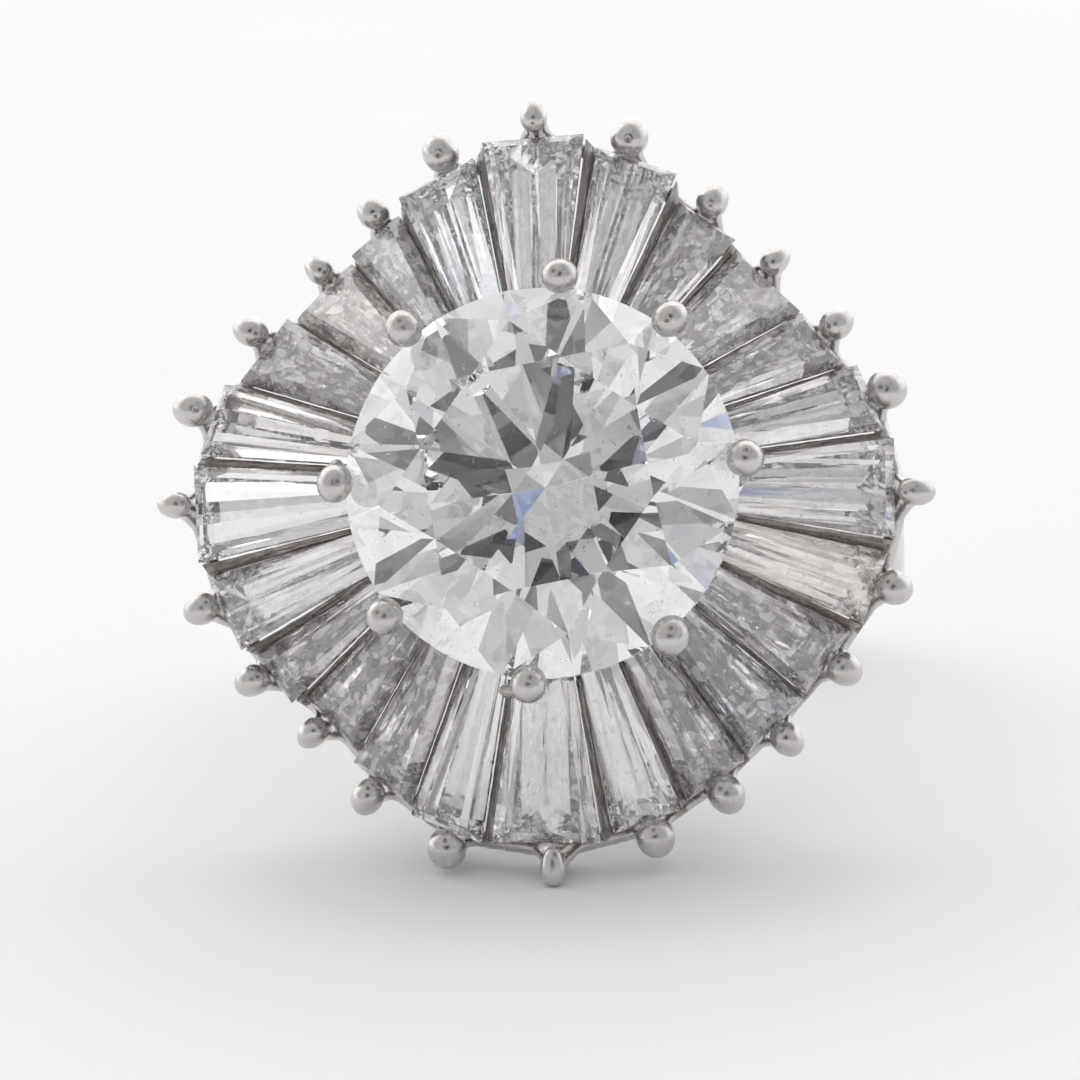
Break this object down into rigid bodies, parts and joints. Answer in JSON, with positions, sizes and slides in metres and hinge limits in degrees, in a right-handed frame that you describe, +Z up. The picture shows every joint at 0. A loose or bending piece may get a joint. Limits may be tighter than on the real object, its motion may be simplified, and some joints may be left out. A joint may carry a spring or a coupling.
{
  "type": "diamond cluster ring",
  "caption": "Finger ring with a round brilliant in beaded claws inside a wavy skirt of tapered baguettes, lying on its side.",
  "frame": {"origin": "centre of the finger hole", "axes": "+Z up; the head faces -Y and a little up; +X to the right of a viewer who looks at the head; the finger hole's axis is 22.8 degrees from +Z, leaning to +Y"},
  "size_m": [0.0207, 0.026, 0.0197],
  "materials": {
    "white_gold": "polished",
    "diamond": "faceted and polished"
  },
  "bodies": {
    "root": {"mounting": "white_gold", "centre_stone": "diamond", "baguette_01": "diamond", "baguette_02": "diamond", "baguette_03": "diamond", "baguette_04": "diamond", "baguette_05": "diamond", "baguette_06": "diamond", "baguette_07": "diamond", "baguette_08": "diamond", "baguette_09": "diamond", "baguette_10": "diamond", "baguette_11": "diamond", "baguette_12": "diamond", "baguette_13": "diamond", "baguette_14": "diamond", "baguette_15": "diamond", "baguette_16": "diamond", "baguette_17": "diamond", "baguette_18": "diamond", "baguette_19": "diamond", "baguette_20": "diamond", "baguette_21": "diamond", "baguette_22": "diamond", "baguette_23": "diamond", "baguette_24": "diamond"}
  },
  "joints": []
}
